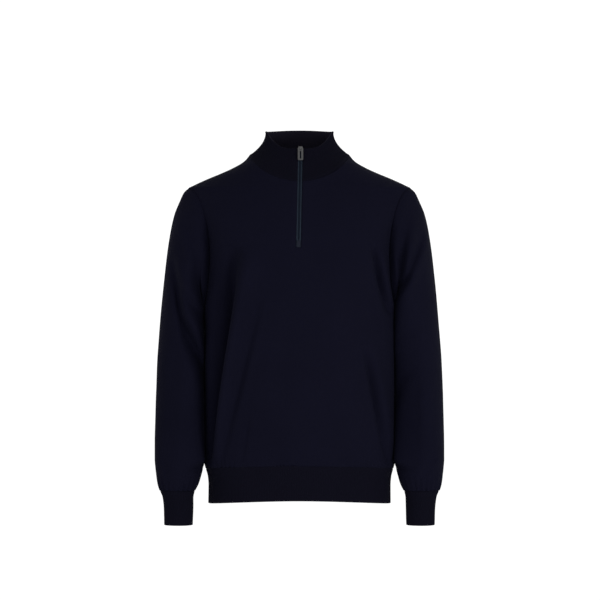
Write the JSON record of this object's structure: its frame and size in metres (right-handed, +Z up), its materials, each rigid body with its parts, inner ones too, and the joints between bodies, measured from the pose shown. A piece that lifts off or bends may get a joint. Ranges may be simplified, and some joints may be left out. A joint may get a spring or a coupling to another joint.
{
  "type": "quarter-zip sweater",
  "caption": "Long-sleeved fine-knit pullover with a ribbed standing collar, a short zip at the front, ribbed cuffs and a ribbed hem.",
  "frame": {"origin": "middle of the neck, level with the points where the collar meets the shoulder seams", "axes": "+X to the wearer's left, -Y to the front, +Z up"},
  "size_m": [0.568, 0.2659, 0.7786],
  "materials": {
    "knit": "matte fine knit",
    "rib": "matte ribbed knit",
    "tape": "woven",
    "chain": "satin",
    "metal": "dark satin"
  },
  "bodies": {
    "garment": {"front": "knit", "back": "knit", "sleeve_left": "knit", "sleeve_right": "knit", "cuff_left": "rib", "cuff_right": "rib", "hem_band": "rib", "collar": "rib", "zip_tape_left": "tape", "zip_tape_right": "tape", "zip_chain": "chain", "zip_stop": "tape", "zip_slider": "metal"},
    "pull": {"zip_pull": "metal"}
  },
  "joints": [
    {"name": "pull_hinge", "type": "hinge", "parent": "garment", "child": "pull", "pos_m": [0.00197, -0.0676, 0.0134], "axis": [-1, 0, 0], "range_deg": [0, 150]}
  ]
}
